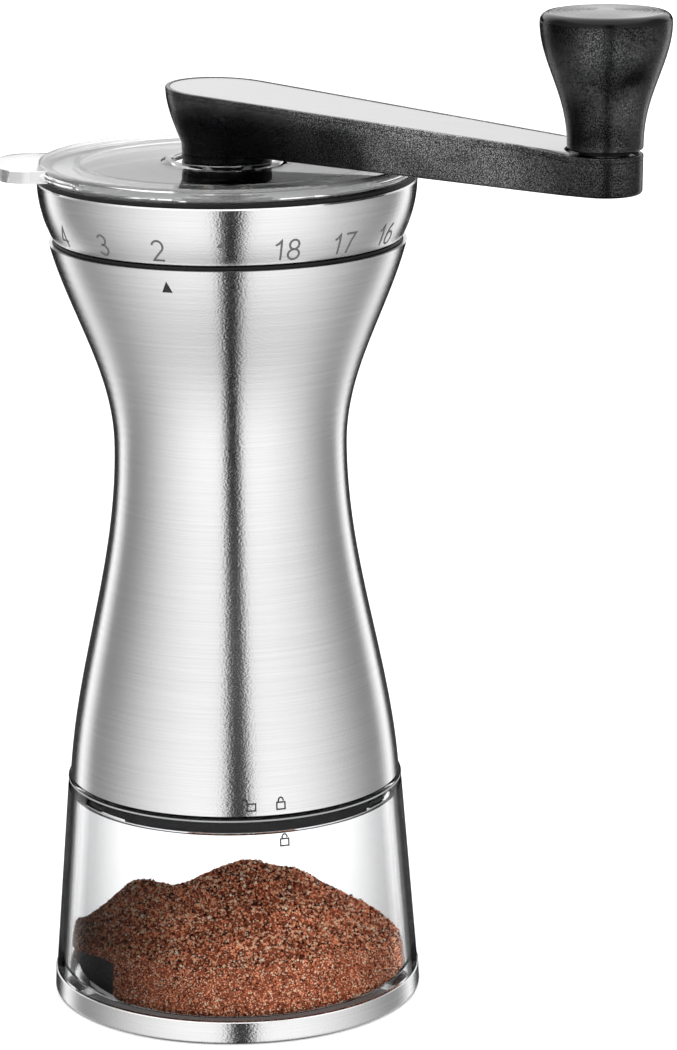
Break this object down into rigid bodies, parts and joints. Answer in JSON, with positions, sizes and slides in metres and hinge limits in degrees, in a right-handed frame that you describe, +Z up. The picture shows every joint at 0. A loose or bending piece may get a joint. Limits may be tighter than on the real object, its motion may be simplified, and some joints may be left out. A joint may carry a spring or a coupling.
{
  "type": "hand crank coffee grinder",
  "caption": "Hourglass steel hand coffee mill with numbered grind ring, clear lid, lift-off crank with turning knob, conical ceramic burrs and clear catch container.",
  "frame": {"origin": "centre of the base ring's underside, on the table", "axes": "+Z up along the mill axis; -Y is the front, where the index mark is; the crank points 35 degrees forward of +X"},
  "size_m": [0.1376, 0.107, 0.2226],
  "materials": {
    "brushed_steel": "fine circumferential brushing",
    "bright_steel": "turned and polished",
    "clear_acrylic": "clear polished acrylic",
    "coffee": "loose medium-fine grounds",
    "seal_rubber": "matte silicone",
    "grey_plastic": "satin moulded",
    "dark_plastic": "satin moulded",
    "textured_black": "fine spark-eroded texture",
    "gloss_black": "gloss with turned rings",
    "ceramic": "sintered, unglazed",
    "bush_brass": "sintered"
  },
  "bodies": {
    "container": {"base_ring": "brushed_steel", "container": "clear_acrylic", "ground_coffee": "coffee"},
    "seal": {"container_seal": "seal_rubber"},
    "mill": {"housing_shell": "brushed_steel", "hopper_liner": "grey_plastic", "hopper_funnel": "grey_plastic", "bayonet_collar": "dark_plastic", "burr_carrier": "dark_plastic", "ring_burr": "ceramic", "lower_bush": "bush_brass", "carrier_screws": "bright_steel", "top_collar": "dark_plastic", "click_spring": "bright_steel"},
    "grind_ring": {"dial_ring": "brushed_steel", "dial_core": "grey_plastic", "lid_gasket": "seal_rubber"},
    "bridge": {"bearing_bridge": "grey_plastic", "upper_bush": "bush_brass"},
    "rotor": {"drive_shaft": "bright_steel", "cone_burr": "ceramic", "burr_washer": "bright_steel", "burr_nut": "bright_steel", "shaft_collar": "bright_steel", "shaft_spring": "bright_steel", "shaft_clip": "bright_steel"},
    "crank": {"crank_arm": "textured_black", "arm_plate": "brushed_steel", "hex_insert": "bright_steel", "knob_axle": "bright_steel", "knob_washer": "dark_plastic"},
    "knob": {"knob": "textured_black", "knob_cap": "gloss_black"},
    "lid": {"lid": "clear_acrylic"}
  },
  "joints": [
    {"name": "mill_lift", "type": "slide", "parent": "container", "child": "seal", "axis": [0, 0, 1], "range_m": [0, 0.07]},
    {"name": "mill_twist", "type": "hinge", "parent": "seal", "child": "mill", "pos_m": [0, 0, 0.048], "axis": [0, 0, 1], "range_deg": [-11, 0]},
    {"name": "grind_dial", "type": "hinge", "parent": "mill", "child": "grind_ring", "pos_m": [0, 0, 0.175], "axis": [0, 0, 1], "range_deg": [-20, 320]},
    {"name": "bridge_travel", "type": "slide", "parent": "mill", "child": "bridge", "axis": [0, 0, 1], "range_m": [-0.00136, 0.00009]},
    {"name": "crank_turn", "type": "hinge", "parent": "bridge", "child": "rotor", "pos_m": [0, 0, 0.166], "axis": [0, 0, 1], "continuous": true},
    {"name": "crank_lift", "type": "slide", "parent": "rotor", "child": "crank", "axis": [0, 0, 1], "range_m": [0, 0.06]},
    {"name": "lid_lift", "type": "slide", "parent": "grind_ring", "child": "lid", "axis": [0, 0, 1], "range_m": [0, 0.03]},
    {"name": "knob_spin", "type": "hinge", "parent": "crank", "child": "knob", "pos_m": [0.07577, -0.05306, 0.205], "axis": [0, 0, 1], "continuous": true}
  ],
  "couplings": [
    {"joint": "bridge_travel", "follows": "grind_dial", "m_per_rad": -0.00023873},
    {"joint": "lid_lift", "follows": "crank_lift", "ratio": 0.5}
  ]
}
